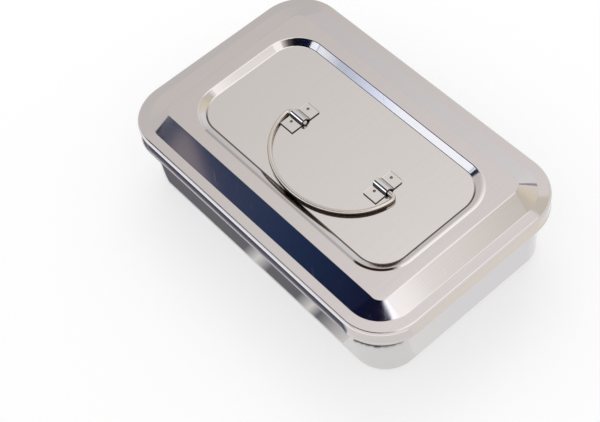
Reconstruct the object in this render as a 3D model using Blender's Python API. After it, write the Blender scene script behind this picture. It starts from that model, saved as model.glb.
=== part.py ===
"""Stainless steel sterilization container.

A deep-drawn tray pan with a rolled rim, a pressed lid that lifts straight off it, and a round wire bail
that swings in two strap clips, spot-welded to the recessed panel of the lid.
The length lies along X and the width along Y. The origin is the middle of the pan's underside.
"""
import math

import bmesh
import bpy
from mathutils import Vector

MM = 0.001

# Sheet and fits
SHEET = 0.8 * MM
CONTACT_GAP = 0.3 * MM
SKIRT_CLEARANCE = 1.0 * MM

# Pan
PAN_LENGTH = 238.0 * MM
PAN_WIDTH = 150.0 * MM
PAN_HEIGHT = 57.0 * MM
PAN_CORNER_RADIUS = 26.0 * MM
PAN_DRAFT_ANGLE = math.radians(1.5)
PAN_BOTTOM_BEND = 5.0 * MM
PAN_ROOT_BEND = 1.0 * MM
RIM_OVERHANG = 4.2 * MM
ROLL_RADIUS = 1.7 * MM
ROLL_SWEEP = math.radians(200.0)

# Lid
SKIRT_DEPTH = 12.0 * MM
RIM_BEND = 2.0 * MM
FLANGE_WIDTH = 8.5 * MM
FLANGE_RISE = 0.95 * MM
FOOT_CORNER_RADIUS = 24.0 * MM
FOOT_BEND = 1.4 * MM
SLOPE_RUN = 12.8 * MM
SLOPE_RISE = 4.4 * MM
SHOULDER_CORNER_RADIUS = 7.5 * MM
SHOULDER_BEND = 1.2 * MM
PLATEAU_WIDTH = 10.5 * MM
RECESS_CORNER_RADIUS = 24.0 * MM
RECESS_EDGE_BEND = 5.0 * MM
RECESS_RUN = 4.9 * MM
RECESS_DEPTH = 2.7 * MM
PANEL_CORNER_RADIUS = 19.0 * MM
PANEL_EDGE_BEND = 4.0 * MM

# The clips' middle and their pivot line, which lie a little off the lid's middle
CLIP_OFFSET = 3.7 * MM
PIVOT_SETBACK = 0.85 * MM

# Bail, which has slid a little to the right in its clips
BAIL_SLIDE = 1.5 * MM
WIRE_DIAMETER = 3.0 * MM
BAIL_HALF_WIDTH = 49.25 * MM
BAIL_MARGIN = 0.3 * MM
BAIL_END_BEND = 3.0 * MM
BAIL_END_PROUD = 1.4 * MM

# Clips
CLIP_END_GAP = 0.15 * MM
STRAP_WIDTH = 11.25 * MM
STRAP_THICKNESS = 0.8 * MM
STRAP_BEND = 1.0 * MM
STRAP_FOOT_LENGTH = 8.0 * MM
LOOP_CLEARANCE = 0.4 * MM
LOOP_SLOPE_ANGLE = math.radians(45.0)

# Spot welds
WELD_DIAMETER = 1.7 * MM
WELD_PROUD = 0.15 * MM
WELD_CROWN = 0.15 * MM
WELD_OFFSET = 1.5 * MM
WELD_FRONT_SETBACK = 2.3 * MM
WELD_REAR_SETBACK = 4.5 * MM
CUT_OVERRUN = 1.0 * MM

# Facets
CORNER_STEPS = 8
BEND_STEPS = 3
SOFT_BEND_STEPS = 5
ROLL_STEPS = 8
ARC_STEPS = 40
WIRE_SIDES = 12
LOOP_STEPS = 10
WELD_SIDES = 16
CROWN_STEPS = 3
CROWN_SWEEP = math.radians(60.0)
SHARP_ANGLE = math.radians(30.0)

# The lid's size and seat follow from the pan that it covers
SKIRT_REACH = RIM_OVERHANG + SKIRT_CLEARANCE + SHEET
LID_LENGTH = PAN_LENGTH + 2 * SKIRT_REACH
LID_WIDTH = PAN_WIDTH + 2 * SKIRT_REACH
LID_CORNER_RADIUS = PAN_CORNER_RADIUS + SKIRT_REACH
FLANGE_ANGLE = math.atan2(FLANGE_RISE, FLANGE_WIDTH)
ROLL_INSET = SHEET + SKIRT_CLEARANCE + ROLL_RADIUS
ROLL_TO_LID_SKIN = (ROLL_RADIUS + CONTACT_GAP + SHEET) / math.cos(FLANGE_ANGLE)
LID_SEAT_HEIGHT = PAN_HEIGHT - ROLL_RADIUS + ROLL_TO_LID_SKIN - ROLL_INSET * math.tan(FLANGE_ANGLE)

# Levels of the lid's upper skin above its rim, and their insets from the skirt
PLATEAU_HEIGHT = FLANGE_RISE + SLOPE_RISE
PANEL_HEIGHT = PLATEAU_HEIGHT - RECESS_DEPTH
SHOULDER_INSET = FLANGE_WIDTH + SLOPE_RUN
RECESS_INSET = SHOULDER_INSET + PLATEAU_WIDTH
PANEL_INSET = RECESS_INSET + RECESS_RUN

# The bail lies on the panel and reaches to just short of the recess wall; the loops follow its wire.
# Its sideways play lets it slide both ways from the clips' middle, until a bend meets a clip.
WIRE_RADIUS = WIRE_DIAMETER / 2
PIVOT_HEIGHT = CONTACT_GAP + WIRE_RADIUS
LOOP_RADIUS = WIRE_RADIUS + LOOP_CLEARANCE
BAIL_REACH = LID_WIDTH / 2 - PANEL_INSET - BAIL_MARGIN - WIRE_RADIUS - PIVOT_SETBACK
BAIL_END_SHARE = math.sqrt(1 - (BAIL_END_BEND / BAIL_REACH) ** 2)
BEND_CENTRE_X = BAIL_HALF_WIDTH * BAIL_END_SHARE - BAIL_END_BEND
CLIP_CENTRE_X = BEND_CENTRE_X - BAIL_SLIDE - CLIP_END_GAP - STRAP_WIDTH / 2


def clear_scene():
    for old in list(bpy.data.objects):
        bpy.data.objects.remove(old, do_unlink=True)


def steel(name, colour, roughness):
    """A bare stainless finish with its own tint and polish."""
    material = bpy.data.materials.new(name)
    material.use_nodes = True
    shader = material.node_tree.nodes["Principled BSDF"]
    shader.inputs["Base Color"].default_value = (*colour, 1.0)
    shader.inputs["Metallic"].default_value = 1.0
    shader.inputs["Roughness"].default_value = roughness
    return material


def add_piece(name, shape, origin, material):
    """Puts a closed bmesh, built around its own origin, into the scene as one named piece."""
    bmesh.ops.recalc_face_normals(shape, faces=shape.faces)
    mesh = bpy.data.meshes.new(name)
    shape.to_mesh(mesh)
    shape.free()
    mesh.shade_smooth()
    mesh.set_sharp_from_angle(angle=SHARP_ANGLE)
    mesh.materials.append(material)
    piece = bpy.data.objects.new(name, mesh)
    piece.location = origin
    bpy.context.scene.collection.objects.link(piece)
    return piece


def loft(rings):
    """Skins a row of closed rings with equal point counts and shuts each end with a flat face."""
    shape = bmesh.new()
    rows = [[shape.verts.new(point) for point in ring] for ring in rings]
    count = len(rows[0])
    for row, following in zip(rows, rows[1:]):
        for index in range(count):
            beside = (index + 1) % count
            shape.faces.new((row[index], row[beside], following[beside], following[index]))
    shape.faces.new(reversed(rows[0]))
    shape.faces.new(rows[-1])
    return shape


def rounded_rectangle(half_length, half_width, radius, height):
    """One level ring: four corner arcs, joined by the straight sides."""
    ring = []
    for quarter, (side_x, side_y) in enumerate(((1, 1), (-1, 1), (-1, -1), (1, -1))):
        for step in range(CORNER_STEPS + 1):
            angle = math.pi / 2 * (quarter + step / CORNER_STEPS)
            x = side_x * (half_length - radius) + radius * math.cos(angle)
            y = side_y * (half_width - radius) + radius * math.sin(angle)
            ring.append((x, y, height))
    return ring


def turned(direction, angle):
    """A section direction, turned anticlockwise."""
    x = direction.x * math.cos(angle) - direction.y * math.sin(angle)
    y = direction.x * math.sin(angle) + direction.y * math.cos(angle)
    return Vector((x, y))


def bent_path(corners):
    """Rounds the bends of a section.

    A corner is (point, bend radius, steps), and its point is (across, height, plan corner radius).
    """
    path = [Vector(corners[0][0])]
    for before, corner, after in zip(corners, corners[1:], corners[2:]):
        point, bend, steps = Vector(corner[0]), corner[1], corner[2]
        arriving = point - Vector(before[0])
        leaving = Vector(after[0]) - point
        way_in = arriving.xy.normalized()
        turn = -way_in.angle_signed(leaving.xy)
        tangent = bend * math.tan(abs(turn) / 2)
        start = point - arriving * (tangent / arriving.xy.length)
        end = point + leaving * (tangent / leaving.xy.length)
        to_centre = turned(way_in, math.copysign(math.pi / 2, turn)) * bend
        for step in range(steps + 1):
            place = start.xy + to_centre - turned(to_centre, turn * step / steps)
            path.append(Vector((*place, start.z + (end.z - start.z) * step / steps)))
    path.append(Vector(corners[-1][0]))
    return path


def sheet_section(path, thickness):
    """Gives a section path its second skin, to its left, and returns both skins as one open outline."""
    second = []
    for index, point in enumerate(path):
        before = path[max(index - 1, 0)]
        after = path[min(index + 1, len(path) - 1)]
        ways = [way.normalized() for way in (point.xy - before.xy, after.xy - point.xy) if way.length > 0]
        normals = [turned(way, math.pi / 2) for way in ways]
        mitre = (normals[0] + normals[-1]).normalized()
        shift = mitre * (thickness / mitre.dot(normals[0]))
        second.append(Vector((point.x + shift.x, point.y + shift.y, point.z - shift.x)))
    return path + second[::-1]


def pressed_shell(section, half_length, half_width):
    """Lofts a drawn shell: each section point becomes a ring at its inset, height and corner radius."""
    rings = []
    for inset, height, radius in section:
        rings.append(rounded_rectangle(half_length - inset, half_width - inset, radius, height))
    return loft(rings)


def pan_section():
    """Outer skin from the flat bottom up the drafted wall, out along the flange and round the roll."""
    draft = (PAN_HEIGHT - SHEET) * math.tan(PAN_DRAFT_ANGLE)
    bottom_inset = draft + PAN_BOTTOM_BEND * 2
    flange_height = PAN_HEIGHT - SHEET
    roll_centre = Vector((ROLL_RADIUS - RIM_OVERHANG, PAN_HEIGHT - ROLL_RADIUS))
    corners = [
        ((bottom_inset, 0, PAN_CORNER_RADIUS - bottom_inset), 0, 0),
        ((draft, 0, PAN_CORNER_RADIUS - draft), PAN_BOTTOM_BEND, SOFT_BEND_STEPS),
        ((0, flange_height, PAN_CORNER_RADIUS), PAN_ROOT_BEND, BEND_STEPS),
        ((roll_centre.x, flange_height, PAN_CORNER_RADIUS - roll_centre.x), 0, 0),
    ]
    path = bent_path(corners)
    inner_radius = ROLL_RADIUS - SHEET
    for step in range(1, ROLL_STEPS + 1):
        place = roll_centre + turned(Vector((0, inner_radius)), ROLL_SWEEP * step / ROLL_STEPS)
        path.append(Vector((*place, PAN_CORNER_RADIUS - place.x)))
    return path


def lid_section():
    """Upper skin from the panel up the recess wall, over the plateau, down the slope and the skirt."""
    start_inset = PANEL_INSET + PANEL_EDGE_BEND
    start_radius = PANEL_CORNER_RADIUS - PANEL_EDGE_BEND
    corners = [
        ((start_inset, PANEL_HEIGHT, start_radius), 0, 0),
        ((PANEL_INSET, PANEL_HEIGHT, PANEL_CORNER_RADIUS), PANEL_EDGE_BEND, BEND_STEPS),
        ((RECESS_INSET, PLATEAU_HEIGHT, RECESS_CORNER_RADIUS), RECESS_EDGE_BEND, BEND_STEPS),
        ((SHOULDER_INSET, PLATEAU_HEIGHT, SHOULDER_CORNER_RADIUS), SHOULDER_BEND, BEND_STEPS),
        ((FLANGE_WIDTH, FLANGE_RISE, FOOT_CORNER_RADIUS), FOOT_BEND, BEND_STEPS),
        ((0, 0, LID_CORNER_RADIUS), RIM_BEND, SOFT_BEND_STEPS),
        ((0, -SKIRT_DEPTH, LID_CORNER_RADIUS), 0, 0),
    ]
    return bent_path(corners)


def make_pan():
    path = pan_section()
    shape = pressed_shell(sheet_section(path, -SHEET), PAN_LENGTH / 2, PAN_WIDTH / 2)
    return add_piece("tray_pan", shape, (0, 0, 0), steel("pan_steel", (0.62, 0.61, 0.60), 0.22))


def make_lid():
    path = lid_section()
    shape = pressed_shell(sheet_section(path, SHEET), LID_LENGTH / 2, LID_WIDTH / 2)
    place = (0, 0, LID_SEAT_HEIGHT)
    return add_piece("lid", shape, place, steel("lid_steel", (0.66, 0.65, 0.64), 0.18))


def panel_place(x, y, height):
    """A place in the part's frame, from the clips' middle, their pivot line and the lid's panel."""
    return Vector((CLIP_OFFSET + x, y - PIVOT_SETBACK, LID_SEAT_HEIGHT + PANEL_HEIGHT + height))


def bail_route():
    """Centre line of the bail in its own plane: end, bend, half ellipse, bend, end."""
    inner_end = CLIP_CENTRE_X + BAIL_SLIDE - STRAP_WIDTH / 2 - BAIL_END_PROUD
    right = [Vector((inner_end, 0, 0))]
    for step in range(BEND_STEPS * 2 + 1):
        angle = math.pi / 2 * (1 - step / (BEND_STEPS * 2))
        x = BEND_CENTRE_X + BAIL_END_BEND * math.cos(angle)
        y = BAIL_END_BEND * (math.sin(angle) - 1)
        right.append(Vector((x, y, 0)))
    first = math.asin(BAIL_END_BEND / BAIL_REACH)
    arc = []
    for step in range(1, ARC_STEPS):
        angle = first + (math.pi - 2 * first) * step / ARC_STEPS
        arc.append(Vector((BAIL_HALF_WIDTH * math.cos(angle), -BAIL_REACH * math.sin(angle), 0)))
    left = [Vector((-point.x, point.y, 0)) for point in reversed(right)]
    return right + arc + left


def make_bail():
    """A round wire, swept along its route; its origin is the middle of the pivot line."""
    route = bail_route()
    rings = []
    for index, point in enumerate(route):
        before = route[max(index - 1, 0)]
        after = route[min(index + 1, len(route) - 1)]
        across = turned((after - before).xy.normalized(), math.pi / 2).to_3d()
        ring = []
        for side in range(WIRE_SIDES):
            angle = 2 * math.pi * side / WIRE_SIDES
            ring.append(point + WIRE_RADIUS * (math.cos(angle) * across + math.sin(angle) * Vector((0, 0, 1))))
        rings.append(ring)
    place = panel_place(BAIL_SLIDE, 0, PIVOT_HEIGHT)
    return add_piece("bail_handle", loft(rings), place, steel("bail_wire_steel", (0.60, 0.57, 0.54), 0.15))


def strap_section():
    """Under skin of the strap across the pivot: foot, upright, round loop, slope and foot."""
    foot_height = CONTACT_GAP - PIVOT_HEIGHT
    upright = -LOOP_RADIUS
    foot_start = upright - STRAP_BEND - STRAP_FOOT_LENGTH
    loop_end = math.pi / 2 - LOOP_SLOPE_ANGLE
    slope_top = Vector((LOOP_RADIUS * math.cos(loop_end), LOOP_RADIUS * math.sin(loop_end)))
    slope_foot = slope_top.x + (slope_top.y - foot_height) / math.tan(LOOP_SLOPE_ANGLE)
    slope_bend = STRAP_BEND * math.tan(LOOP_SLOPE_ANGLE / 2)
    foot_end = slope_foot + slope_bend + STRAP_FOOT_LENGTH
    path = bent_path([
        ((foot_start, foot_height, 0), 0, 0),
        ((upright, foot_height, 0), STRAP_BEND, BEND_STEPS),
        ((upright, 0, 0), 0, 0),
    ])
    for step in range(1, LOOP_STEPS):
        angle = math.pi - (math.pi - loop_end) * step / LOOP_STEPS
        path.append(Vector((LOOP_RADIUS * math.cos(angle), LOOP_RADIUS * math.sin(angle), 0)))
    path += bent_path([
        ((*slope_top, 0), 0, 0),
        ((slope_foot, foot_height, 0), STRAP_BEND, BEND_STEPS),
        ((foot_end, foot_height, 0), 0, 0),
    ])
    return path


def weld_places():
    """The welds of a strap's two feet, along Y from the pivot, each set back from its foot's bend."""
    path = strap_section()
    front = path[0].x + STRAP_FOOT_LENGTH - WELD_FRONT_SETBACK
    rear = path[-1].x - STRAP_FOOT_LENGTH + WELD_REAR_SETBACK
    return front, rear


def make_weld_cutter(name, x, y):
    """The round hole in a foot that its spot weld fills."""
    shape = bmesh.new()
    radius = WELD_DIAMETER / 2 + CONTACT_GAP
    depth = STRAP_THICKNESS + 2 * CUT_OVERRUN
    bmesh.ops.create_cone(
        shape, cap_ends=True, segments=WELD_SIDES, radius1=radius, radius2=radius, depth=depth)
    place = panel_place(x - WELD_OFFSET, y, CONTACT_GAP + STRAP_THICKNESS / 2)
    cutter = add_piece(name + "_hole", shape, place, steel(name + "_hole", (0.5, 0.5, 0.5), 0.5))
    cutter.hide_render = True
    cutter.display_type = "WIRE"
    return cutter


def make_clip(name, x):
    """A bent strap with a foot on each side of its loop, extruded along the pivot."""
    outline = sheet_section(strap_section(), STRAP_THICKNESS)
    rings = []
    for end in (-STRAP_WIDTH / 2, STRAP_WIDTH / 2):
        rings.append([(end, point.x, point.y) for point in outline])
    place = panel_place(x, 0, PIVOT_HEIGHT)
    clip = add_piece(name, loft(rings), place, steel(name + "_steel", (0.64, 0.62, 0.60), 0.2))
    for number, y in enumerate(weld_places()):
        hole = clip.modifiers.new("weld hole", "BOOLEAN")
        hole.operation = "DIFFERENCE"
        hole.object = make_weld_cutter(f"{name}_{number}", x, y)
    return clip


def make_weld(name, x, y):
    """A spot weld's nugget: a short round plug from the panel through the foot, with a low crown."""
    radius = WELD_DIAMETER / 2
    top = STRAP_THICKNESS + WELD_PROUD
    levels = [(radius, 0)]
    for step in range(CROWN_STEPS + 1):
        angle = CROWN_SWEEP * step / CROWN_STEPS
        levels.append((radius * math.cos(angle), top - WELD_CROWN + WELD_CROWN * math.sin(angle)))
    rings = []
    for across, height in levels:
        ring = []
        for side in range(WELD_SIDES):
            angle = 2 * math.pi * side / WELD_SIDES
            ring.append((across * math.cos(angle), across * math.sin(angle), height))
        rings.append(ring)
    place = panel_place(x - WELD_OFFSET, y, CONTACT_GAP)
    return add_piece(name, loft(rings), place, steel(name + "_steel", (0.5, 0.48, 0.46), 0.35))


def build():
    clear_scene()
    make_pan()
    make_lid()
    make_bail()
    for side, sign in (("left", -1), ("right", 1)):
        x = sign * CLIP_CENTRE_X
        make_clip(f"handle_clip_{side}", x)
        for foot, y in zip(("front", "rear"), weld_places()):
            make_weld(f"spot_weld_{side}_{foot}", x, y)


build()
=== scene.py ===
import math

import bmesh
import bpy
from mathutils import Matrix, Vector


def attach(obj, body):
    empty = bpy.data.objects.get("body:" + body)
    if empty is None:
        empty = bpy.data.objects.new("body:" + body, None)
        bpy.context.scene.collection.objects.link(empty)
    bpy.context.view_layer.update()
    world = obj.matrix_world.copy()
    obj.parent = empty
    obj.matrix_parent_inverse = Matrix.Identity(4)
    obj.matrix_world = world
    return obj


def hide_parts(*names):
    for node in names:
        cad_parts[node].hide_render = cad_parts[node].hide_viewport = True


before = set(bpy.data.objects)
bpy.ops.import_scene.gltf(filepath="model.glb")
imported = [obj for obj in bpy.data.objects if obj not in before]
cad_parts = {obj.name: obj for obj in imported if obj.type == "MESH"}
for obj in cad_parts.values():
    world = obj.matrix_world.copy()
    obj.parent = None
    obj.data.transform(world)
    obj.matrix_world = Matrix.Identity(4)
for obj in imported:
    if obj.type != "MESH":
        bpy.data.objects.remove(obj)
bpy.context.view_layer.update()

# Camera
# It stands above the tray's near right corner, looks down on the lid at about 55 degrees and leans over a
# little, so that the tray lies aslant in the picture.
lens = bpy.data.cameras.new("camera")
lens.sensor_width = 36.0
lens.lens = 85.338
camera = bpy.data.objects.new("camera", lens)
camera.location = (0.43824, -0.32425, 0.77020)
camera.rotation_euler = [math.radians(angle) for angle in (34.8895, 5.5643, 48.6744)]
bpy.context.scene.collection.objects.link(camera)
bpy.context.scene.camera = camera
bpy.context.scene.view_settings.view_transform = "Standard"


# Floor
# A plain pale board under the tray. The camera and the steel see it as nearly white, with the tray's soft
# shadow on it, and all other light sees it a little darker.
class Shade:
    """A value or a colour in a finish. Sums and products of values add Math nodes."""

    def __init__(self, tree, link=None):
        self.tree = tree
        self.link = link

    def node(self, kind, settings=None, inputs=None, output=0):
        """Any node: its settings first, then the values and links of its sockets."""
        made = self.tree.nodes.new(kind)
        for name, value in (settings or {}).items():
            if name == "stops":
                while len(made.color_ramp.elements) < len(value):
                    made.color_ramp.elements.new(0.5)
                for stop, (place, colour) in zip(made.color_ramp.elements, value):
                    stop.position = place
                    stop.color = (*colour, 1.0)
            else:
                setattr(made, name, value)
        for name, value in (inputs or {}).items():
            if isinstance(value, Shade):
                self.tree.links.new(value.link, made.inputs[name])
            else:
                made.inputs[name].default_value = value
        return Shade(self.tree, made.outputs[output] if made.outputs else None)

    def math(self, operation, first, second=0.0, clamped=False):
        settings = {"operation": operation, "use_clamp": clamped}
        return self.node("ShaderNodeMath", settings, {0: first, 1: second})

    def mix(self, factor, first, second):
        """A colour between two colours."""
        inputs = {0: factor, 6: first, 7: second}
        return self.node("ShaderNodeMix", {"data_type": "RGBA"}, inputs, 2)

    def __add__(self, other):
        return self.math("ADD", self, other)

    def __radd__(self, other):
        return self.math("ADD", other, self)

    def __sub__(self, other):
        return self.math("SUBTRACT", self, other)

    def __rsub__(self, other):
        return self.math("SUBTRACT", other, self)

    def __mul__(self, other):
        return self.math("MULTIPLY", self, other)

    def __rmul__(self, other):
        return self.math("MULTIPLY", other, self)


def new_finish(name):
    """A material with an empty node tree, and the start of its maths."""
    material = bpy.data.materials.new(name)
    material.use_nodes = True
    material.node_tree.nodes.clear()
    return material, Shade(material.node_tree)


def add_piece(name, shape, material):
    """Puts a bmesh into the scene as one named piece."""
    mesh = bpy.data.meshes.new(name)
    shape.to_mesh(mesh)
    shape.free()
    mesh.shade_smooth()
    mesh.materials.append(material)
    piece = bpy.data.objects.new(name, mesh)
    bpy.context.scene.collection.objects.link(piece)
    return piece


floor_finish, board = new_finish("floor")
camera_ray = board.node("ShaderNodeLightPath", output="Is Camera Ray")
glossy_ray = board.node("ShaderNodeLightPath", output="Is Glossy Ray")
transmission_ray = board.node("ShaderNodeLightPath", output="Is Transmission Ray")
seen = board.math("ADD", camera_ray + glossy_ray, transmission_ray, clamped=True)
board_colour = board.mix(seen, (0.8, 0.8, 0.8, 1.0), (1.0, 1.0, 1.0, 1.0))
matt = board.node("ShaderNodeBsdfDiffuse", {}, {"Color": board_colour})
lit = board.node("ShaderNodeEmission", {}, {"Color": (1.0, 1.0, 1.0, 1.0), "Strength": 1.05})
lit_share = glossy_ray * 0.6 + camera_ray * 0.45
board_shade = board.node("ShaderNodeMixShader", {}, {0: lit_share, 1: matt, 2: lit})
board.node("ShaderNodeOutputMaterial", {}, {"Surface": board_shade})

FLOOR_REACH = 12.0
FLOOR_DROP = 0.0002
floor_shape = bmesh.new()
bmesh.ops.create_grid(floor_shape, x_segments=1, y_segments=1, size=FLOOR_REACH)
floor = add_piece("floor", floor_shape, floor_finish)
floor.location.z = -FLOOR_DROP

# Studio light
# An even white room with a soft lamp. What the steel mirrors are boards that only reflections see. Most
# hang 3 m up: a dark blue one over the front, a cool window beyond it, white ones over the middle and warm
# ones behind. One hangs 1 m up in front of the tray, and four lie on the floor round its front and right.
room = bpy.data.worlds.new("room")
room.use_nodes = True
room.node_tree.nodes.clear()
bpy.context.scene.world = room
air = Shade(room.node_tree)
camera_ray = air.node("ShaderNodeLightPath", output="Is Camera Ray")
glossy_ray = air.node("ShaderNodeLightPath", output="Is Glossy Ray")
direction = air.node("ShaderNodeTexCoord", output="Generated")
across = air.node("ShaderNodeSeparateXYZ", {}, {0: direction}, output=0)
deep = air.node("ShaderNodeSeparateXYZ", {}, {0: direction}, output=1)
left_to_right = air.node("ShaderNodeValToRGB", {"stops": [
    (0.035, (0.77, 0.74, 0.73)), (0.125, (0.71, 0.71, 0.72)), (0.20, (0.75, 0.73, 0.73)),
    (0.26, (0.86, 0.85, 0.855)), (0.30, (0.94, 0.92, 0.93)), (0.40, (0.98, 0.965, 0.98)),
]}, {"Fac": across * 0.5 + 0.5})
near_to_far = air.node("ShaderNodeValToRGB", {"stops": [
    (0.68, (1.0, 1.0, 1.0)), (0.72, (0.97, 0.97, 0.97)), (0.80, (0.95, 0.95, 0.95)),
    (0.93, (0.94, 0.97, 1.0)),
]}, {"Fac": deep * 0.5 + 0.5})
mirrored = air.node("ShaderNodeVectorMath", {"operation": "MULTIPLY"}, {0: left_to_right, 1: near_to_far})
wall_colour = air.mix(glossy_ray, (0.76, 0.76, 0.76, 1.0), mirrored)
white_seen = air.node("ShaderNodeBackground", {}, {"Color": (1.0, 1.0, 1.0, 1.0), "Strength": 1.0})
walls = air.node("ShaderNodeBackground", {}, {"Color": wall_colour, "Strength": 1.12})
room_shade = air.node("ShaderNodeMixShader", {}, {0: camera_ray, 1: walls, 2: white_seen})
air.node("ShaderNodeOutputWorld", {}, {"Surface": room_shade})

lamp_light = bpy.data.lights.new("soft_lamp", "AREA")
lamp_light.shape = "RECTANGLE"
lamp_light.size = 1.6
lamp_light.size_y = 1.2
lamp_light.energy = 7.0
lamp = bpy.data.objects.new("soft_lamp", lamp_light)
lamp.location = (-0.9, 1.0, 1.6)
lamp.rotation_euler = (Vector((0.0, 0.0, 0.0)) - lamp.location).to_track_quat("-Z", "Y").to_euler()
lamp.visible_glossy = False
lamp.visible_camera = False
bpy.context.scene.collection.objects.link(lamp)

board_finish, board_paint = new_finish("hung_board")
painted = board_paint.node("ShaderNodeAttribute", {"attribute_name": "tone"})
glow = board_paint.node("ShaderNodeEmission", {}, {"Color": painted, "Strength": 1.0})
board_paint.node("ShaderNodeOutputMaterial", {}, {"Surface": glow})


def hang_board(name, height, rows):
    """A level board that only reflections see: rows of (x, y, colour), shaded smoothly between."""
    shape = bmesh.new()
    points = [[shape.verts.new((x, y, height)) for x, y, colour in row] for row in rows]
    for row, following in zip(points, points[1:]):
        for index in range(len(row) - 1):
            shape.faces.new((row[index], row[index + 1], following[index + 1], following[index]))
    hung = add_piece(name, shape, board_finish)
    paint = hung.data.attributes.new("tone", "FLOAT_COLOR", "POINT")
    colours = [colour for row in rows for x, y, colour in row]
    for spot, colour in zip(paint.data, colours):
        spot.color = (*colour, 1.0)
    hung.visible_camera = False
    hung.visible_diffuse = False
    hung.visible_shadow = False
    hung.visible_transmission = False


def hang_grid(name, height, places, depths, colours):
    """A board over places along X and depths along Y, with one colour for each crossing."""
    rows = []
    for depth, row in zip(depths, colours):
        rows.append([(place, depth, colour) for place, colour in zip(places, row)])
    hang_board(name, height, rows)


HUNG = 3.0
HUNG_LOWER = 2.99
HUNG_LOWEST = 2.98
HUNG_NEAR = 1.0
LAID = 0.0006
LAID_OVER = 0.0007
LAID_UPPERMOST = 0.0008

slate_blue = (0.045, 0.066, 0.145)
navy_blue = (0.018, 0.038, 0.110)
night = (0.006, 0.006, 0.035)
fading_blue = (0.45, 0.46, 0.50)
hang_grid(
    "dark_blue_board", HUNG, (-2.28, -1.85, -1.60, -1.2), (-1.45, -0.30, -0.05),
    [[slate_blue, slate_blue, navy_blue, night]] * 2 + [[fading_blue] * 4])
hang_board("dark_blue_board_end", HUNG, [
    [(-1.2, -1.45, night), (-1.2, -0.30, night)],
    [(-0.65, -1.45, night), (-0.66, -0.28, night)],
    [(-0.02, -1.38, night), (-0.14, -0.12, night)],
    [(0.42, -1.13, night), (0.20, -0.50, night)],
    [(0.78, -0.85, night), (0.47, -0.425, night)],
    [(1.00, -0.50, night), (0.614, -0.29, night)],
    [(1.05, -0.20, night), (0.735, -0.125, night)],
])

indigo = (0.04, 0.06, 0.20)
snow = (1.70, 1.76, 1.90)
hang_board("white_board_near", HUNG_LOWER, [
    [(0.47, -0.425, indigo), (0.42, -0.370, snow), (0.00, -0.30, snow)],
    [(0.614, -0.29, indigo), (0.56, -0.235, snow), (0.05, -0.10, snow)],
    [(0.735, -0.125, indigo), (0.69, -0.075, snow), (0.10, 0.05, snow)],
    [(0.80, -0.02, snow), (0.70, 0.03, snow), (0.12, 0.10, snow)],
])

dusk = (0.34, 0.305, 0.345)
hang_board("grey_board", HUNG_LOWEST, [
    [(-2.19, -1.20, dusk), (-2.19, -0.942, dusk)],
    [(-1.70, -1.20, dusk), (-2.13, -0.942, dusk)],
])

daylight = (1.45, 1.55, 1.70)
window_bar = (0.66, 0.75, 0.93)
window_sky = (1.15, 1.29, 1.62)
hang_grid(
    "cool_window", HUNG, (-3.4, -2.22, -2.12, -1.92, -1.81, -0.4), (-2.12, -1.45),
    [[daylight, daylight, window_bar, window_sky, daylight, daylight]] * 2)
pale_sky = (1.6, 1.68, 1.8)
hang_board("cool_window_foot", HUNG_LOWEST, [
    [(-12.0, -9.0, pale_sky), (-12.0, -3.5, pale_sky)],
    [(-1.2, -9.0, pale_sky), (-1.2, -3.5, pale_sky)],
])
slate = (0.22, 0.23, 0.26)
hang_board("slate_board", HUNG, [
    [(-3.4, -3.5, slate), (-3.4, -2.12, slate)],
    [(-0.4, -3.5, slate), (-0.4, -2.12, slate)],
])

navy = (0.004, 0.007, 0.036)
pitch = (0.006, 0.008, 0.016)
umber = (0.16, 0.14, 0.12)
pale = (1.1, 1.08, 1.05)
hang_board("near_dark_board", HUNG_NEAR, [
    [(-0.325, -0.306, navy), (-0.285, -0.475, navy)],
    [(-0.222, -0.265, navy), (-0.150, -0.420, navy)],
    [(-0.104, -0.192, pitch), (-0.002, -0.326, pitch)],
    [(-0.008, -0.103, pitch), (0.118, -0.212, pitch)],
    [(0.067, 0.003, umber), (0.212, -0.078, umber)],
    [(0.125, 0.150, pale), (0.285, 0.110, pale)],
])

deep_shade = (0.030, 0.040, 0.075)
half_shade = (0.4, 0.4, 0.44)
light_shade = (0.5, 0.5, 0.52)
hang_board("left_dark_board", HUNG_LOWER, [
    [(-2.28, -1.95, deep_shade), (-2.28, -0.95, deep_shade)],
    [(-2.52, -1.95, deep_shade), (-2.52, -0.98, deep_shade)],
    [(-2.76, -1.95, deep_shade), (-2.74, -1.10, deep_shade)],
    [(-2.95, -1.95, deep_shade), (-2.95, -1.42, half_shade)],
    [(-4.60, -1.80, light_shade), (-4.60, -1.40, light_shade)],
])

white = (1.65, 1.66, 1.66)
bare = (1.0, 0.98, 1.0)
hang_grid(
    "white_board_left", HUNG, (-1.30, -1.10, -0.72), (0.90, 0.98, 1.38, 1.46),
    [[bare] * 3, [bare, white, white], [bare, white, white], [bare] * 3])
pearl = (1.66, 1.70, 1.84)
lilac = (1.46, 1.47, 1.52)
chalk = (1.22, 1.20, 1.20)
putty = (1.08, 1.07, 1.07)
oat = (0.79, 0.77, 0.72)
hang_grid(
    "white_board_middle", HUNG, (-0.24, 0.30, 0.62, 0.93, 1.5), (-0.12, 0.20, 0.42, 1.03, 1.12, 1.62),
    [[white, white, near, far, white] for near, far in (
        (pearl, pearl), (pearl, pearl), (lilac, lilac), (lilac, lilac), (chalk, putty), (oat, oat))])

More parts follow.
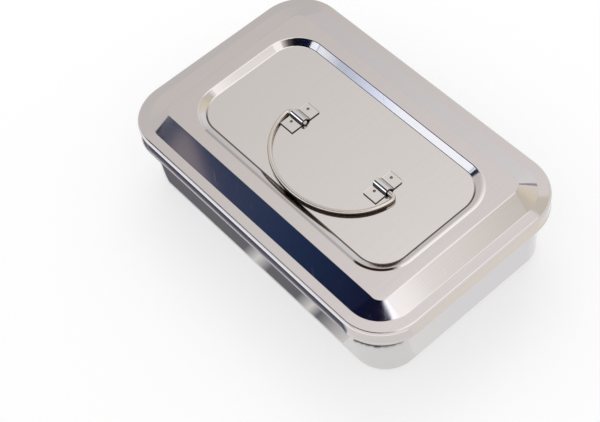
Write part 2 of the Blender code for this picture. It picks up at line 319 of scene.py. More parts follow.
straw = (0.84, 0.81, 0.73)
honey = (0.86, 0.82, 0.71)
warm = (0.98, 0.92, 0.78)
ivory = (1.02, 0.97, 0.86)
hang_grid(
    "warm_board", HUNG, (-0.7, 0.0, 0.6, 1.1), (1.62, 1.80, 2.2, 2.9, 3.8, 4.6),
    [[colour] * 4 for colour in (oat, straw, honey, warm, ivory, bare)])
dim = (0.06, 0.055, 0.055)
hang_board("warm_board_end", HUNG_LOWER, [
    [(-0.45, 4.58, dim), (0.05, 4.92, bare)],
    [(-0.72, 4.98, dim), (-0.24, 5.32, bare)],
])

pale_side = (0.60, 0.64, 0.78)
dark_side = (0.06, 0.07, 0.11)
mid_side = (0.55, 0.55, 0.61)
dim_side = (0.17, 0.17, 0.19)
bright_strip = (0.78, 0.76, 0.75)
wall_row = [dim_side, dim_side, bright_strip, dim_side, dim_side, bright_strip, dim_side, bright_strip]
hang_grid(
    "low_grey_board", LAID, (-0.16, -0.02, -0.008, 0.004, 0.032, 0.044, 0.052, 0.078),
    (-0.1040, -0.0996, -0.0981, -0.0967, -0.0957, -0.0950, -0.0755),
    [[colour] * 8 for colour in (pale_side, dark_side, dark_side, mid_side, mid_side)] + [wall_row] * 2)
floor_white = (1.5, 1.5, 1.55)
hang_board("low_bright_board", LAID_UPPERMOST, [
    [(-0.350, -0.114, floor_white), (-0.350, -0.500, floor_white)],
    [(0.064, -0.114, floor_white), (0.020, -0.380, floor_white)],
    [(0.099, -0.126, floor_white), (0.120, -0.350, floor_white)],
    [(0.148, -0.110, floor_white), (0.290, -0.280, floor_white)],
    [(0.170, -0.074, floor_white), (0.359, -0.138, floor_white)],
    [(0.172, -0.054, floor_white), (0.349, -0.066, floor_white)],
])
soot = (0.03, 0.03, 0.035)
hang_board("low_dark_crescent", LAID_OVER, [
    [(0.0814, -0.0813, soot), (0.0806, -0.0822, soot)],
    [(0.0884, -0.0856, soot), (0.0876, -0.0874, soot)],
    [(0.0973, -0.0875, soot), (0.0970, -0.0898, soot)],
    [(0.1071, -0.0865, soot), (0.1078, -0.0892, soot)],
    [(0.1205, -0.0795, soot), (0.1226, -0.0816, soot)],
    [(0.1274, -0.0717, soot), (0.1299, -0.0729, soot)],
    [(0.1320, -0.0623, soot), (0.1340, -0.0628, soot)],
    [(0.1335, -0.0520, soot), (0.1340, -0.0518, soot)],
])
cream_end = (0.98, 0.96, 0.95)
cool_cream = (0.95, 0.93, 0.96)
light_cream = (1.02, 0.99, 0.92)
cream = (1.01, 0.97, 0.91)
hang_grid(
    "low_cream_board", LAID, (0.1185, 0.128, 0.140, 0.150, 0.165), (-0.045, 0.0, 0.110),
    [[cream_end] * 5] + [[cool_cream, cool_cream, light_cream, cream, cream]] * 2)


# Pan
# The lower half of the tray: one stainless sheet, deep-drawn in a die to steep walls with a rounded foot,
# its edge turned out and rolled under. It stands loose under the lid, which hides the roll.
MM = 0.001
SHEET = 0.8 * MM
PAN_LENGTH = 238.0 * MM
PAN_WIDTH = 150.0 * MM
PAN_HEIGHT = 57.0 * MM
PAN_CORNER_RADIUS = 26.0 * MM
PAN_DRAFT_ANGLE = math.radians(1.5)
PAN_BOTTOM_BEND = 5.0 * MM
PAN_ROOT_BEND = 1.0 * MM
RIM_OVERHANG = 4.2 * MM
ROLL_RADIUS = 1.7 * MM
ROLL_SWEEP = math.radians(200.0)
CORNER_STEPS = 28
ROLL_STEPS = 16
ROUNDING_STEPS = 6


def rounded_rectangle(half_length, half_width, radius, height):
    """One level ring: four corner arcs, joined by the straight sides."""
    ring = []
    for quarter, (side_x, side_y) in enumerate(((1, 1), (-1, 1), (-1, -1), (1, -1))):
        for step in range(CORNER_STEPS + 1):
            angle = math.pi / 2 * (quarter + step / CORNER_STEPS)
            x = side_x * (half_length - radius) + radius * math.cos(angle)
            y = side_y * (half_width - radius) + radius * math.sin(angle)
            ring.append((x, y, height))
    return ring


def turned(direction, angle):
    """A section direction, turned anticlockwise."""
    x = direction.x * math.cos(angle) - direction.y * math.sin(angle)
    y = direction.x * math.sin(angle) + direction.y * math.cos(angle)
    return Vector((x, y))


def bent_path(corners):
    """Rounds the bends of a section; a corner is ((across, height, plan corner radius), bend, steps)."""
    path = [Vector(corners[0][0])]
    for before, corner, after in zip(corners, corners[1:], corners[2:]):
        point, bend, steps = Vector(corner[0]), corner[1], corner[2]
        if steps == 0:
            path.append(point)
            continue
        arriving = point - Vector(before[0])
        leaving = Vector(after[0]) - point
        way_in = arriving.xy.normalized()
        turn = -way_in.angle_signed(leaving.xy)
        tangent = bend * math.tan(abs(turn) / 2)
        start = point - arriving * (tangent / arriving.xy.length)
        end = point + leaving * (tangent / leaving.xy.length)
        to_centre = turned(way_in, math.copysign(math.pi / 2, turn)) * bend
        for step in range(steps + 1):
            place = start.xy + to_centre - turned(to_centre, turn * step / steps)
            path.append(Vector((*place, start.z + (end.z - start.z) * step / steps)))
    path.append(Vector(corners[-1][0]))
    return path


UNMARKED = (0.0, 0.0, 0.0, 0.0)


def bend_marks(corners, marked):
    """The marks of each point of a bent path, from those of the marked corners.

    A mark is four strengths of painted light: a painted highlight on the right side, and painted shade
    in front, along the front right and at the near corner.
    """
    marks = [UNMARKED]
    for index, corner in enumerate(corners[1:-1], start=1):
        marks += [marked.get(index, UNMARKED)] * (corner[2] + 1)
    return marks + [UNMARKED]


def sheet_section(path, thickness):
    """Gives a section its second skin, to its left, and rounds the sheet's cut edge between the two."""
    second = []
    for index, point in enumerate(path):
        before = path[max(index - 1, 0)]
        after = path[min(index + 1, len(path) - 1)]
        ways = [way.normalized() for way in (point.xy - before.xy, after.xy - point.xy) if way.length > 0]
        normals = [turned(way, math.pi / 2) for way in ways]
        mitre = (normals[0] + normals[-1]).normalized()
        shift = mitre * (thickness / mitre.dot(normals[0]))
        second.append(Vector((point.x + shift.x, point.y + shift.y, point.z - shift.x)))
    tip, inner_tip = path[-1], second[-1]
    middle = (tip + inner_tip) / 2
    half = (tip - middle).xy
    back = (path[-1] - path[-2]).xy.normalized() * abs(thickness) / 2
    path = path[:-1] + [tip - Vector((*back, 0))]
    second = second[:-1] + [inner_tip - Vector((*back, 0))]
    edge = []
    for step in range(1, ROUNDING_STEPS):
        angle = math.pi * step / ROUNDING_STEPS
        place = middle.xy - back + half * math.cos(angle) + back * math.sin(angle)
        edge.append(Vector((*place, middle.z + (tip.x - place.x))))
    return path + edge + second[::-1]


# Where the painted shade on the lid's bends falls: a band along the front right and a patch at the near
# corner.
FRONT_RIGHT_START = 0.6
FRONT_RIGHT_FADE = 1.2
NEAR_CORNER_TURN = math.radians(54.0)
NEAR_CORNER_FADE = 4.7


def pressed_shell(section, half_length, half_width, lift, marks):
    """Lofts a drawn shell: each section point becomes a ring at its inset, height and corner radius."""
    shape = bmesh.new()
    rubbed = shape.verts.layers.float.new("rubbed")
    rows = []
    for (inset, height, radius), (right, front, front_right, corner) in zip(section, marks):
        ring = rounded_rectangle(half_length - inset, half_width - inset, radius, height + lift)
        row = [shape.verts.new(point) for point in ring]
        for index, vert in enumerate(row):
            turn = math.pi / 2 * (index // (CORNER_STEPS + 1) + index % (CORNER_STEPS + 1) / CORNER_STEPS)
            front_right_share = FRONT_RIGHT_START + FRONT_RIGHT_FADE * (math.cos(turn) - math.sin(turn))
            corner_share = 1.0 - NEAR_CORNER_FADE * (1.0 - math.cos(turn + NEAR_CORNER_TURN))
            # Painted light: a painted highlight on the right side, painted shade in front, along the front
            # right and at the near corner.
            painted_highlight = right * max(math.cos(turn), 0.0) ** 2
            darkening = front * max(-math.sin(turn), 0.0) ** 2
            darkening += front_right * min(max(front_right_share, 0.0), 1.0)
            darkening += corner * max(corner_share, 0.0)
            vert[rubbed] = painted_highlight - darkening
        rows.append(row)
    count = len(rows[0])
    for row, following in zip(rows, rows[1:]):
        for index in range(count):
            beside = (index + 1) % count
            shape.faces.new((row[index], row[beside], following[beside], following[index]))
    shape.faces.new(reversed(rows[0]))
    shape.faces.new(rows[-1])
    bmesh.ops.recalc_face_normals(shape, faces=shape.faces)
    return shape


TOP_LINES = (950.0, 14.0, 14.0)
SIDE_LINES = (9.0, 9.0, 1100.0)
SCRATCH_LINES = (3200.0, 75.0, 75.0)
SCRATCH_TURN = -1.0
SCRATCH_ROUGHNESS = 0.14
LINE_DEPTH = 0.00001
# The colours of the painted light: near white for the painted highlight, near black for the painted shade.
PAINTED_HIGHLIGHT_COLOUR = (1.0, 0.99, 0.98, 1.0)
PAINTED_SHADE_COLOUR = (0.026, 0.014, 0.009, 1.0)


def brushed_steel(name, tint, shadow_tint, polish, grain, side_below=-1.0, satin=None):
    """Polished stainless sheet: fine drawing lines, faint clouds, a few hair scratches.

    The lines run along Y on top and level round the sides, below the height side_below. Satin is a
    level area with its own tint: (half length, half width, height, tint, added roughness).
    """
    finish, steel = new_finish(name)
    place = steel.node("ShaderNodeTexCoord", output="Object")
    height = steel.node("ShaderNodeSeparateXYZ", {}, {0: place}, output=2)
    side = steel.math("LESS_THAN", height, side_below)
    stretch = {"operation": "MULTIPLY"}
    top_place = steel.node("ShaderNodeVectorMath", stretch, {0: place, 1: TOP_LINES})
    side_place = steel.node("ShaderNodeVectorMath", stretch, {0: place, 1: SIDE_LINES})
    fine = {"Scale": 1.0, "Detail": 4.0, "Roughness": 0.65}
    top_lines = steel.node("ShaderNodeTexNoise", {}, {"Vector": top_place, **fine})
    side_lines = steel.node("ShaderNodeTexNoise", {}, {"Vector": side_place, **fine})
    lines = top_lines * (1.0 - side) + side_lines * side
    clouds = steel.node("ShaderNodeTexNoise", {}, {"Vector": place, "Scale": 16.0, "Detail": 3.0})
    wide = steel.node("ShaderNodeTexNoise", {}, {"Vector": place, "Scale": 5.0, "Detail": 1.0})
    turned_place = steel.node(
        "ShaderNodeVectorRotate", {"rotation_type": "Z_AXIS"}, {"Vector": place, "Angle": SCRATCH_TURN})
    scratch_place = steel.node("ShaderNodeVectorMath", stretch, {0: turned_place, 1: SCRATCH_LINES})
    scratch_noise = steel.node(
        "ShaderNodeTexNoise", {}, {"Vector": scratch_place, "Scale": 1.0, "Detail": 0.0})
    scratches = steel.node(
        "ShaderNodeMapRange", {}, {"Value": scratch_noise, "From Min": 0.77, "From Max": 0.88})
    tinted = steel.mix(wide, (*shadow_tint, 1.0), (*tint, 1.0))
    rough = polish + (lines - 0.5) * grain + (clouds - 0.5) * grain + scratches * SCRATCH_ROUGHNESS
    if satin:
        half_length, half_width, satin_height, satin_tint, satin_rough = satin
        along = steel.math("ABSOLUTE", steel.node("ShaderNodeSeparateXYZ", {}, {0: place}, output=0))
        aside = steel.math("ABSOLUTE", steel.node("ShaderNodeSeparateXYZ", {}, {0: place}, output=1))
        inside = steel.math("LESS_THAN", along, half_length) * steel.math("LESS_THAN", aside, half_width)
        level = inside * steel.math("LESS_THAN", height, satin_height)
        tinted = steel.mix(level, tinted, (*satin_tint, 1.0))
        rough = rough + level * satin_rough
    grain_and_painted_light = steel.mix(lines * 0.10, tinted, (1.0, 1.0, 1.0, 1.0))
    # Painted highlight and painted shade: where the painted-light attribute is above nought the colour goes
    # towards near white, where it is below nought towards near black. The brightening by the drawing lines
    # above is the sheet's own grain.
    rubbed = steel.node("ShaderNodeAttribute", {"attribute_name": "rubbed"}, output="Fac")
    grain_and_painted_light = steel.mix(steel.math("MAXIMUM", rubbed, 0.0), grain_and_painted_light, PAINTED_HIGHLIGHT_COLOUR)
    darkening = steel.math("MULTIPLY", rubbed, -1.0, clamped=True)
    grain_and_painted_light = steel.mix(darkening, grain_and_painted_light, PAINTED_SHADE_COLOUR)
    bump = steel.node("ShaderNodeBump", {}, {
        "Strength": 0.25, "Distance": LINE_DEPTH, "Height": lines + scratches * 0.5})
    surface = steel.node("ShaderNodeBsdfPrincipled", {}, {
        "Base Color": grain_and_painted_light, "Metallic": 1.0, "Roughness": rough, "Normal": bump})
    steel.node("ShaderNodeOutputMaterial", {}, {"Surface": surface})
    return finish


def keep_flats_flat(piece):
    """Lets the big faces set the shading, so that the sheet's flats mirror without a bow."""
    piece.modifiers.new("flats stay flat", "WEIGHTED_NORMAL").weight = 100


draft = (PAN_HEIGHT - SHEET) * math.tan(PAN_DRAFT_ANGLE)
foot_inset = draft + PAN_BOTTOM_BEND * 2
pan_edge = PAN_HEIGHT - SHEET
roll_centre = Vector((ROLL_RADIUS - RIM_OVERHANG, PAN_HEIGHT - ROLL_RADIUS))
pan_path = bent_path([
    ((foot_inset, 0, PAN_CORNER_RADIUS - foot_inset), 0, 0),
    ((draft, 0, PAN_CORNER_RADIUS - draft), PAN_BOTTOM_BEND, 12),
    ((0, pan_edge, PAN_CORNER_RADIUS), PAN_ROOT_BEND, 5),
    ((roll_centre.x, pan_edge, PAN_CORNER_RADIUS - roll_centre.x), 0, 0),
])
for step in range(1, ROLL_STEPS + 1):
    place = roll_centre + turned(Vector((0, ROLL_RADIUS - SHEET)), ROLL_SWEEP * step / ROLL_STEPS)
    pan_path.append(Vector((*place, PAN_CORNER_RADIUS - place.x)))
pan_steel = brushed_steel(
    "pan_steel", tint=(0.64, 0.63, 0.62), shadow_tint=(0.60, 0.595, 0.59), polish=0.09, grain=0.06,
    side_below=PAN_HEIGHT)
pan_section = sheet_section(pan_path, -SHEET)
pan_marks = [UNMARKED] * len(pan_section)
pan_shape = pressed_shell(pan_section, PAN_LENGTH / 2, PAN_WIDTH / 2, 0.0, pan_marks)
pan = add_piece("drawn_pan", pan_shape, pan_steel)
keep_flats_flat(pan)
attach(pan, "pan")
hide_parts("tray_pan")

# Lid
# The upper half: a second sheet, pressed to a skirt, a flange, a slope, a plateau and a recessed panel, and
# buffed along its short side. It sits loose on the pan's roll.
LID_LENGTH = 250.0 * MM
LID_WIDTH = 162.0 * MM
LID_SEAT = 57.726 * MM
SKIRT_DEPTH = 12.0 * MM
HEM_DEPTH = 1.7 * MM
HEM_PROUD = 0.13 * MM
LID_CORNER_RADIUS = 32.0 * MM
RIM_BEND = 2.0 * MM
FLANGE_WIDTH = 8.2 * MM
FLANGE_RISE = 0.92 * MM
FOOT_CORNER_RADIUS = 24.3 * MM
FOOT_BEND = 2.0 * MM
SHOULDER_INSET = 21.7 * MM
PLATEAU_HEIGHT = 5.49 * MM
SHOULDER_CORNER_RADIUS = 7.2 * MM
SHOULDER_BEND = 3.0 * MM
RECESS_INSET = 31.35 * MM
RECESS_CORNER_RADIUS = 24.2 * MM
RECESS_EDGE_BEND = 2.4 * MM
PANEL_INSET = 36.45 * MM
PANEL_HEIGHT = 2.65 * MM
PANEL_CORNER_RADIUS = 19.6 * MM
PANEL_EDGE_BEND = 2.0 * MM
PANEL_START_SHARE = 0.35
CREST_END_SHARE = 0.6
SATIN_HALF_LENGTH = 95.0 * MM
SATIN_HALF_WIDTH = 51.0 * MM
SATIN_MARGIN = 0.3 * MM
panel_corner = Vector((PANEL_INSET, PANEL_HEIGHT, PANEL_CORNER_RADIUS))
recess_corner = Vector((RECESS_INSET, PLATEAU_HEIGHT, RECESS_CORNER_RADIUS))
lid_corners = [
    (panel_corner + Vector((1, 0, -1)) * PANEL_EDGE_BEND * PANEL_START_SHARE, 0, 0),
    (panel_corner, PANEL_EDGE_BEND, 10),
    (panel_corner.lerp(recess_corner, 0.14), 0, 0),
    (panel_corner.lerp(recess_corner, 0.62), 0, 0),
    (panel_corner.lerp(recess_corner, 0.82), 0, 0),
    (recess_corner, RECESS_EDGE_BEND, 10),
    (recess_corner + Vector((-1, 0, 1)) * RECESS_EDGE_BEND * CREST_END_SHARE, 0, 0),
    ((SHOULDER_INSET, PLATEAU_HEIGHT, SHOULDER_CORNER_RADIUS), SHOULDER_BEND, 8),
    ((FLANGE_WIDTH, FLANGE_RISE, FOOT_CORNER_RADIUS), FOOT_BEND, 8),
    ((HEM_PROUD, 0, LID_CORNER_RADIUS - HEM_PROUD), RIM_BEND, 14),
    ((HEM_PROUD, HEM_DEPTH + HEM_PROUD - SKIRT_DEPTH, LID_CORNER_RADIUS - HEM_PROUD), HEM_PROUD, 3),
    ((0, HEM_DEPTH - SKIRT_DEPTH, LID_CORNER_RADIUS), HEM_PROUD * 2, 3),
    ((0, -SKIRT_DEPTH, LID_CORNER_RADIUS), 0, 0),
]
lid_section = sheet_section(bent_path(lid_corners), SHEET)
panel_bend, wall_top, recess_crest = 1, 4, 5
# Painted light on the recess: a painted highlight on its crest and wall top at the right, painted shade on
# the wall top in front, on the panel's bend along the front right and on the crest at the near corner.
outer_marks = bend_marks(lid_corners, {
    panel_bend: (0.0, 0.0, 0.85, 0.0),
    wall_top: (0.5, 0.12, 0.0, 0.0),
    recess_crest: (1.0, 0.0, 0.0, 3.0),
})
inner_marks = [UNMARKED] * (len(lid_section) - len(outer_marks))
panel_top = LID_SEAT + PANEL_HEIGHT
satin_tint = (0.635, 0.60, 0.57)
satin_roughness = 0.035
lid_steel = brushed_steel(
    "lid_steel", tint=(0.59, 0.55, 0.53), shadow_tint=(0.58, 0.54, 0.52), polish=0.065, grain=0.04,
    side_below=LID_SEAT,
    satin=(SATIN_HALF_LENGTH, SATIN_HALF_WIDTH, panel_top + SATIN_MARGIN, satin_tint, satin_roughness))
lid_shape = pressed_shell(
    lid_section, LID_LENGTH / 2, LID_WIDTH / 2, LID_SEAT, outer_marks + inner_marks)
lid = add_piece("pressed_lid", lid_shape, lid_steel)
keep_flats_flat(lid)
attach(lid, "cover")
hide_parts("lid")

# Bail
# A 3 mm drawn stainless wire, bent to a half ellipse with its two ends turned inward, cut square and
# rounded off. It lies loose on the panel and swings in the two clips.
WIRE_RADIUS = 1.5 * MM
RESTING_GAP = 0.3 * MM
PIVOT_HEIGHT = panel_top + RESTING_GAP + WIRE_RADIUS
PIVOT_SETBACK = 0.85 * MM
BAIL_OFFSET = 5.2 * MM
BAIL_HALF_WIDTH = 49.25 * MM
BAIL_REACH = 41.65 * MM
BAIL_END_BEND = 3.0 * MM
BAIL_INNER_END = 33.322 * MM
WIRE_SIDES = 36
WIRE_BEND_STEPS = 12
WIRE_ARC_STEPS = 120
END_ROUNDING = ((0.0, 0.35), (0.12, 0.72), (0.30, 0.93), (0.55, 1.0))
# Painted shade on the wire: bands round its lower and outer side go near black, for its shaded underside
# and the shade beside it, with a wider band where the wire faces the front right.
WIRE_SHADE_STRENGTH = 0.95
WIRE_SHADE_SIDES = (
    (math.radians(-125.0), math.radians(-44.0)),
    (math.radians(-6.0), math.radians(30.0)),
)
NEAR_WIRE_SHADE_SIDES = ((math.radians(-125.0), math.radians(36.0)),)
NEAR_SIDE = Vector((0.6, -0.8, 0.0))
NEAR_LIMIT = 0.75
bend_centre = BAIL_HALF_WIDTH * math.sqrt(1 - (BAIL_END_BEND / BAIL_REACH) ** 2) - BAIL_END_BEND
wire_route = [Vector((BAIL_INNER_END, 0, 0))]
for step in range(WIRE_BEND_STEPS + 1):
    angle = math.pi / 2 * (1 - step / WIRE_BEND_STEPS)
    x = bend_centre + BAIL_END_BEND * math.cos(angle)
    wire_route.append(Vector((x, BAIL_END_BEND * (math.sin(angle) - 1), 0)))
first = math.asin(BAIL_END_BEND / BAIL_REACH)
half_route = list(wire_route)
for step in range(1, WIRE_ARC_STEPS):
    angle = first + (math.pi - 2 * first) * step / WIRE_ARC_STEPS
    wire_route.append(Vector((BAIL_HALF_WIDTH * math.cos(angle), -BAIL_REACH * math.sin(angle), 0)))
wire_route += [Vector((-point.x, point.y, 0)) for point in reversed(half_route)]


def swept_wire(route, radius, sides):
    """A round wire along a flat route, its two ends rounded off and bands of its outer side painted near
    black as shade.

    A band lies between two angles round the wire, counted from level on its outer side up over its top.
    """
    shape = bmesh.new()
    rubbed = shape.verts.layers.float.new("rubbed")
    rows = []
    last = len(route) - 1
    for index, point in enumerate(route):
        before = route[max(index - 1, 0)]
        after = route[min(index + 1, last)]
        way = (after - before).normalized()
        across = Vector((-way.y, way.x, 0))
        shade_sides = NEAR_WIRE_SHADE_SIDES if across.dot(NEAR_SIDE) > NEAR_LIMIT else WIRE_SHADE_SIDES
        sizes = [(0.0, 1.0)]
        if index == 0:
            sizes = END_ROUNDING
        if index == last:
            sizes = [(-along, share) for along, share in reversed(END_ROUNDING)]
        for along, share in sizes:
            ring = []
            for side in range(sides):
                angle = 2 * math.pi * side / sides
                spoke = math.cos(angle) * across + math.sin(angle) * Vector((0, 0, 1))
                vert = shape.verts.new(point + way * along * radius + spoke * radius * share)
                lean = (angle + math.pi) % (2 * math.pi) - math.pi
                # Painted shade: inside a band the wire's colour goes near black.
                vert[rubbed] = -WIRE_SHADE_STRENGTH if any(low < lean < high for low, high in shade_sides) else 0.0
                ring.append(vert)
            rows.append(ring)
    for row, following in zip(rows, rows[1:]):
        for index in range(sides):
            beside = (index + 1) % sides
            shape.faces.new((row[index], row[beside], following[beside], following[index]))
    shape.faces.new(reversed(rows[0]))
    shape.faces.new(rows[-1])
    bmesh.ops.recalc_face_normals(shape, faces=shape.faces)
    return shape


wire_steel = brushed_steel(
    "wire_steel", tint=(0.62, 0.56, 0.50), shadow_tint=(0.55, 0.50, 0.45), polish=0.14, grain=0.08)
bail_shape = swept_wire(wire_route, WIRE_RADIUS, WIRE_SIDES)
bmesh.ops.translate(bail_shape, verts=bail_shape.verts, vec=(BAIL_OFFSET, -PIVOT_SETBACK, PIVOT_HEIGHT))
bail = add_piece("wire_bail", bail_shape, wire_steel)
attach(bail, "bail")
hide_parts("bail_handle")

# Clips
# Two straps of stainless strip, each bent over one end of the bail, with a flat foot on each side that is
# spot-welded to the panel. The welding leaves a shallow dimple in each foot.
STRAP_WIDTH = 11.25 * MM
STRAP_THICKNESS = 0.795 * MM
STRAP_BEND = 1.0 * MM
FOOT_LENGTH = 8.0 * MM
LOOP_RADIUS = 1.9 * MM
SLOPE_ANGLE = math.radians(45.0)
CLIP_CENTRE = 38.847 * MM
CLIP_OFFSET = 3.7 * MM
WELD_OFFSET = 1.5 * MM
WELD_FRONT_SETBACK = 2.3 * MM
WELD_REAR_SETBACK = 4.5 * MM
DIMPLE_RADIUS = 1.0 * MM
DIMPLE_DEPTH = 0.22 * MM
EDGE_ROUND = 0.14 * MM
CORNER_ROUND = 1.6 * MM
LOOP_STEPS = 20
# Painted shade and painted highlight on the straps: dark lines at the front bend, across the loop and at
# the slope's foot, a bright band on the loop and bright lines along the feet's edges.
STRAP_DARKENING_STRENGTH = 0.95
STRAP_HIGHLIGHT_STRENGTH = 0.9
EDGE_LINE = 0.28 * MM
FRONT_CREASE_SHIFT = 0.12 * MM
FRONT_CREASE_HALF_WIDTH = 0.42 * MM
LOOP_SHADE_LINE_PLACE = -2.10 * MM
LOOP_SHADE_LINE_HALF_WIDTH = 0.14 * MM
LOOP_HIGHLIGHT_PLACE = -2.62 * MM
LOOP_HIGHLIGHT_HALF_WIDTH = 0.32 * MM
REAR_CREASE_HALF_WIDTH = 0.3 * MM
FOOT_BAND = 0.5 * MM
CUT_EDGE_SLOT = 1
INSIDE_SLOT = 2

sole = RESTING_GAP + panel_top - PIVOT_HEIGHT
foot_top = PIVOT_HEIGHT + sole + STRAP_THICKNESS
loop_end = math.pi / 2 - SLOPE_ANGLE
slope_top = Vector((LOOP_RADIUS * math.cos(loop_end), LOOP_RADIUS * math.sin(loop_end)))
slope_foot = slope_top.x + (slope_top.y - sole) / math.tan(SLOPE_ANGLE)
back_end = slope_foot + STRAP_BEND * math.tan(SLOPE_ANGLE / 2) + FOOT_LENGTH
front_end = -LOOP_RADIUS - STRAP_BEND - FOOT_LENGTH
strap_path = bent_path([
    ((front_end, sole, 0), 0, 0),
    ((-LOOP_RADIUS, sole, 0), STRAP_BEND, 6),
    ((-LOOP_RADIUS, 0, 0), 0, 0),
])
for step in range(1, LOOP_STEPS):
    angle = math.pi - (math.pi - loop_end) * step / LOOP_STEPS
    strap_path.append(Vector((LOOP_RADIUS * math.cos(angle), LOOP_RADIUS * math.sin(angle), 0)))
strap_path += bent_path([
    ((*slope_top, 0), 0, 0),
    ((slope_foot, sole, 0), STRAP_BEND, 6),
    ((back_end, sole, 0), 0, 0),
])
weld_places = (
    front_end + FOOT_LENGTH - WELD_FRONT_SETBACK - PIVOT_SETBACK,
    back_end - FOOT_LENGTH + WELD_REAR_SETBACK - PIVOT_SETBACK,
)
clip_places = [CLIP_OFFSET + sign * CLIP_CENTRE for sign in (-1, 1)]


def strap_outline(path, thickness):
    """The strap's two skins as one closed outline."""
    second = []
    for index, point in enumerate(path):
        before = path[max(index - 1, 0)]
        after = path[min(index + 1, len(path) - 1)]
        ways = [way.normalized() for way in (point.xy - before.xy, after.xy - point.xy) if way.length > 0]
        normals = [turned(way, math.pi / 2) for way in ways]
        mitre = (normals[0] + normals[-1]).normalized()
        second.append(point.xy + mitre * (thickness / mitre.dot(normals[0])))
    return [point.xy for point in path] + second[::-1]


def bent_strap(x, rounded_corner):
    """One strap along the pivot, with its edges broken and, where asked, one foot corner cut round."""
    shape = bmesh.new()
    outline = strap_outline(strap_path, STRAP_THICKNESS)
    rows = []
    for end in (x - STRAP_WIDTH / 2, x + STRAP_WIDTH / 2):
        places = [(end, point.x - PIVOT_SETBACK, point.y + PIVOT_HEIGHT) for point in outline]
        rows.append([shape.verts.new(place) for place in places])
    count = len(outline)
    for index in range(count):
        beside = (index + 1) % count
        face = shape.faces.new((rows[0][index], rows[0][beside], rows[1][beside], rows[1][index]))
        if index < count // 2:
            face.material_index = CUT_EDGE_SLOT if index == count // 2 - 1 else INSIDE_SLOT
        elif index == count - 1:
            face.material_index = CUT_EDGE_SLOT
    shape.faces.new(reversed(rows[0])).material_index = CUT_EDGE_SLOT
    shape.faces.new(rows[1]).material_index = CUT_EDGE_SLOT
    bmesh.ops.recalc_face_normals(shape, faces=shape.faces)
    if rounded_corner:
        corner_edges = []
        for edge in shape.edges:
            low, high = edge.verts
            upright = abs(low.co.z - high.co.z) > STRAP_THICKNESS / 2
            at_end = min(low.co.y, high.co.y) > back_end - PIVOT_SETBACK - CORNER_ROUND
            if upright and at_end and low.co.x > x:
                corner_edges.append(edge)
        bmesh.ops.bevel(
            shape, geom=corner_edges, offset=CORNER_ROUND, segments=6, profile=0.5, affect="EDGES")
    return shape


def cut_dimples(piece, x):
    """Presses the two weld dimples into the feet's upper faces."""
    ball_radius = (DIMPLE_RADIUS ** 2 + DIMPLE_DEPTH ** 2) / (2 * DIMPLE_DEPTH)
    for y in weld_places:
        bowl = bmesh.new()
        bmesh.ops.create_uvsphere(bowl, u_segments=48, v_segments=96, radius=ball_radius)
        centre = (x - WELD_OFFSET, y, foot_top + ball_radius - DIMPLE_DEPTH)
        bmesh.ops.translate(bowl, verts=bowl.verts, vec=centre)
        cutter = add_piece(piece.name + "_bowl", bowl, piece.data.materials[0])
        cut = piece.modifiers.new("dimple", "BOOLEAN")
        cut.operation = "DIFFERENCE"
        cut.object = cutter
        shown = piece.evaluated_get(bpy.context.evaluated_depsgraph_get())
        dimpled = bpy.data.meshes.new_from_object(shown)
        piece.modifiers.clear()
        piece.data = dimpled
        bpy.data.objects.remove(cutter)


def mark_strap(finish, shade_lines, highlight_band, top, tail, edges, spots):
    """Painted shade lines across the strap and at its cut tail, painted highlight lines on the loop and
    along the feet's edges, and darkened weld dimples.

    A shade line is (place, half width, whether only the foot has it), and the highlight band is (place,
    half width).
    """
    tree = finish.node_tree
    steel = Shade(tree)
    surface = next(node for node in tree.nodes if node.type == "BSDF_PRINCIPLED")
    base = Shade(tree, surface.inputs["Base Color"].links[0].from_socket)
    place = steel.node("ShaderNodeTexCoord", output="Object")
    along, aside, height = [
        steel.node("ShaderNodeSeparateXYZ", {}, {0: place}, output=axis) for axis in range(3)]
    low = steel.math("LESS_THAN", height, top)
    darkening = steel.math("GREATER_THAN", aside, tail)
    for line, half_width, at_foot in shade_lines:
        near = steel.math("LESS_THAN", steel.math("ABSOLUTE", aside - line), half_width)
        darkening = darkening + (near * low if at_foot else near)
    for x, y in spots:
        flat = steel.node("ShaderNodeCombineXYZ", {}, {0: along - x, 1: aside - y})
        gap = steel.node("ShaderNodeVectorMath", {"operation": "LENGTH"}, {0: flat}, output="Value")
        darkening = darkening + steel.math("LESS_THAN", gap, DIMPLE_RADIUS)
    painted_highlight = steel.math("LESS_THAN", steel.math("ABSOLUTE", aside - highlight_band[0]), highlight_band[1])
    for edge in edges:
        painted_highlight = painted_highlight + low * steel.math("LESS_THAN", steel.math("ABSOLUTE", along - edge), EDGE_LINE)
    # Painted highlight: the loop's band and the feet's edge lines go towards white.
    shown = steel.mix(steel.math("MINIMUM", painted_highlight, STRAP_HIGHLIGHT_STRENGTH), base, (1.0, 1.0, 1.0, 1.0))
    # Painted shade: the lines across the strap and its tail go near black, and the weld dimples are
    # darkened the same way.
    shown = steel.mix(steel.math("MINIMUM", darkening, STRAP_DARKENING_STRENGTH), shown, (0.03, 0.024, 0.02, 1.0))
    tree.links.new(shown.link, surface.inputs["Base Color"])


clip_steel = brushed_steel(
    "clip_steel", tint=(0.66, 0.63, 0.60), shadow_tint=(0.61, 0.58, 0.55), polish=0.11, grain=0.08)
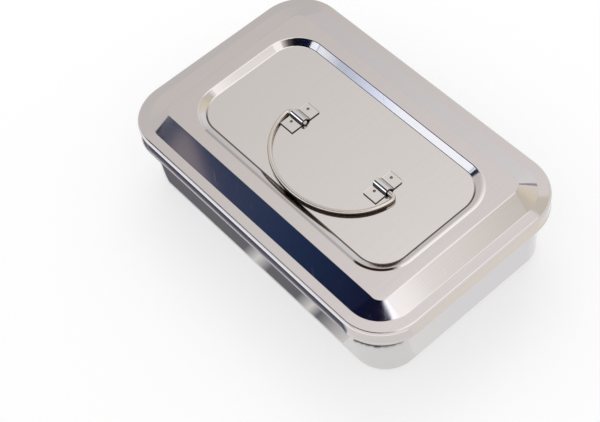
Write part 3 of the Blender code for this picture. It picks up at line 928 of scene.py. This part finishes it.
# Painted shade: the strap's cut edges and its underside are tinted near black, for the dark lines of the
# gaps round and under the strap. Both are also rougher than the polished faces, as sheared and unfinished
# steel is.
cut_steel = brushed_steel(
    "cut_edge_steel", tint=(0.10, 0.085, 0.075), shadow_tint=(0.06, 0.05, 0.045), polish=0.32, grain=0.12)
inside_steel = brushed_steel(
    "unpolished_steel", tint=(0.09, 0.08, 0.07), shadow_tint=(0.05, 0.045, 0.04), polish=0.30, grain=0.12)
front_crease_place = -LOOP_RADIUS - STRAP_THICKNESS - PIVOT_SETBACK + FRONT_CREASE_SHIFT
rear_crease_place = slope_foot + STRAP_THICKNESS * math.tan(SLOPE_ANGLE / 2) - PIVOT_SETBACK
mark_strap(
    clip_steel,
    shade_lines=(
        (front_crease_place, FRONT_CREASE_HALF_WIDTH, False),
        (LOOP_SHADE_LINE_PLACE, LOOP_SHADE_LINE_HALF_WIDTH, False),
        (rear_crease_place, REAR_CREASE_HALF_WIDTH, True),
    ),
    highlight_band=(LOOP_HIGHLIGHT_PLACE, LOOP_HIGHLIGHT_HALF_WIDTH),
    top=foot_top + FOOT_BAND,
    tail=back_end - PIVOT_SETBACK - EDGE_LINE,
    edges=[x - STRAP_WIDTH / 2 for x in clip_places],
    spots=[(x - WELD_OFFSET, y) for x in clip_places for y in weld_places])
for side, x in zip(("left", "right"), clip_places):
    clip = add_piece(f"strap_clip_{side}", bent_strap(x, side == "right"), clip_steel)
    clip.data.materials.append(cut_steel)
    clip.data.materials.append(inside_steel)
    cut_dimples(clip, x)
    broken_edge = clip.modifiers.new("broken edge", "BEVEL")
    broken_edge.width = EDGE_ROUND
    broken_edge.segments = 3
    broken_edge.limit_method = "ANGLE"
    broken_edge.angle_limit = math.radians(50.0)
    keep_flats_flat(clip)
    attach(clip, "cover")
    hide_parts(f"handle_clip_{side}")

# Welds
# Four spot welds hold the clips to the panel, one in each strap foot. The nugget of each shows in its
# dimple as a small round button, darkened by the heat.
NUGGET_RADIUS = 0.62 * MM
NUGGET_SIDES = 32
NUGGET_PROFILE = (
    (1.0, -0.5), (1.0, 0.04), (0.9, 0.12), (0.74, 0.13), (0.6, 0.05), (0.42, 0.06), (0.2, 0.14))
weld_steel = brushed_steel(
    "weld_steel", tint=(0.22, 0.19, 0.17), shadow_tint=(0.14, 0.12, 0.10), polish=0.36, grain=0.12)


def nugget(x, y, z):
    """A low round button with a ring round its crown."""
    shape = bmesh.new()
    rows = []
    for across, up in NUGGET_PROFILE:
        reach = NUGGET_RADIUS * across
        ring = []
        for side in range(NUGGET_SIDES):
            angle = 2 * math.pi * side / NUGGET_SIDES
            spot = (x + reach * math.cos(angle), y + reach * math.sin(angle), z + NUGGET_RADIUS * up)
            ring.append(shape.verts.new(spot))
        rows.append(ring)
    for row, following in zip(rows, rows[1:]):
        for index in range(NUGGET_SIDES):
            beside = (index + 1) % NUGGET_SIDES
            shape.faces.new((row[index], row[beside], following[beside], following[index]))
    shape.faces.new(reversed(rows[0]))
    shape.faces.new(rows[-1])
    bmesh.ops.recalc_face_normals(shape, faces=shape.faces)
    return shape


dimple_floor = foot_top - DIMPLE_DEPTH
for side, x in zip(("left", "right"), clip_places):
    for foot, y in zip(("front", "rear"), weld_places):
        button = nugget(x - WELD_OFFSET, y, dimple_floor)
        weld = add_piece(f"weld_nugget_{side}_{foot}", button, weld_steel)
        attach(weld, "cover")
        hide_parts(f"spot_weld_{side}_{foot}")
